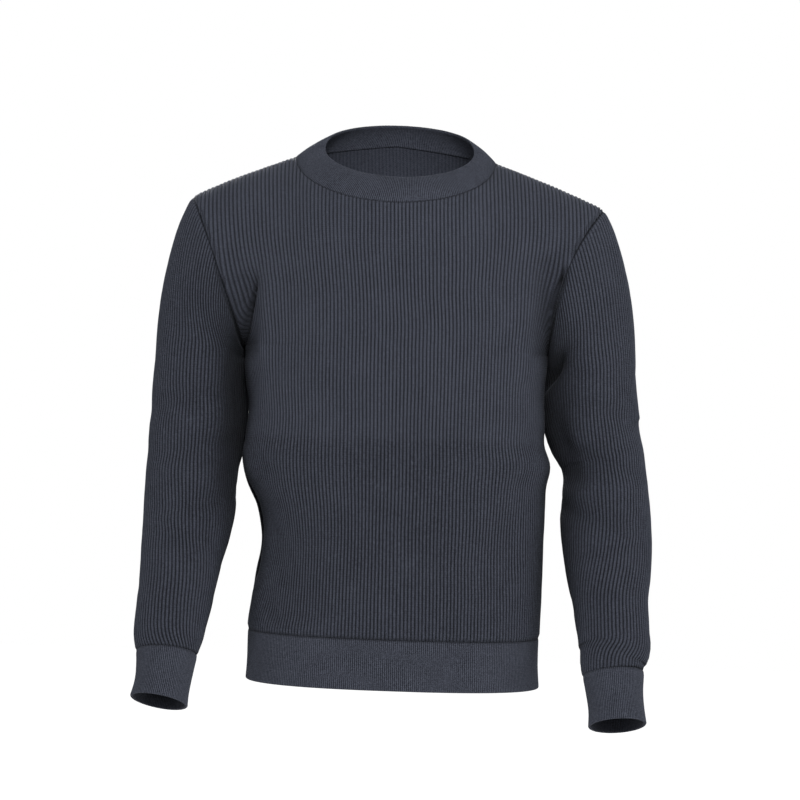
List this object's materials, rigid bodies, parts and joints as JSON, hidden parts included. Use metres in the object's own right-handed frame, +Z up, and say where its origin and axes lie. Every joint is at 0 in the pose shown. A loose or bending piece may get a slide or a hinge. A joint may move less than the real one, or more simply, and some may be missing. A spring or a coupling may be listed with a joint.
{
  "type": "crewneck sweater",
  "caption": "Long-sleeved crewneck sweater of dark rib knit in its worn, hollow shape, with tight bands at neck, cuffs and hem.",
  "frame": {"origin": "midway between the two shoulders, on the line of the shoulder seams and level with the points where they meet the neckband, where the wearer carries the garment", "axes": "+Z up, the front faces -Y, the wearer's left arm is towards +X"},
  "size_m": [0.5891, 0.2409, 0.696],
  "materials": {
    "rib_knit": "matt, soft, slightly fuzzy",
    "band_knit": "matt, soft, finer and tighter"
  },
  "bodies": {
    "root": {"front": "rib_knit", "back": "rib_knit", "sleeve_right": "rib_knit", "sleeve_left": "rib_knit", "collar": "band_knit", "cuff_right": "band_knit", "cuff_left": "band_knit", "hem_band": "band_knit"}
  },
  "joints": []
}
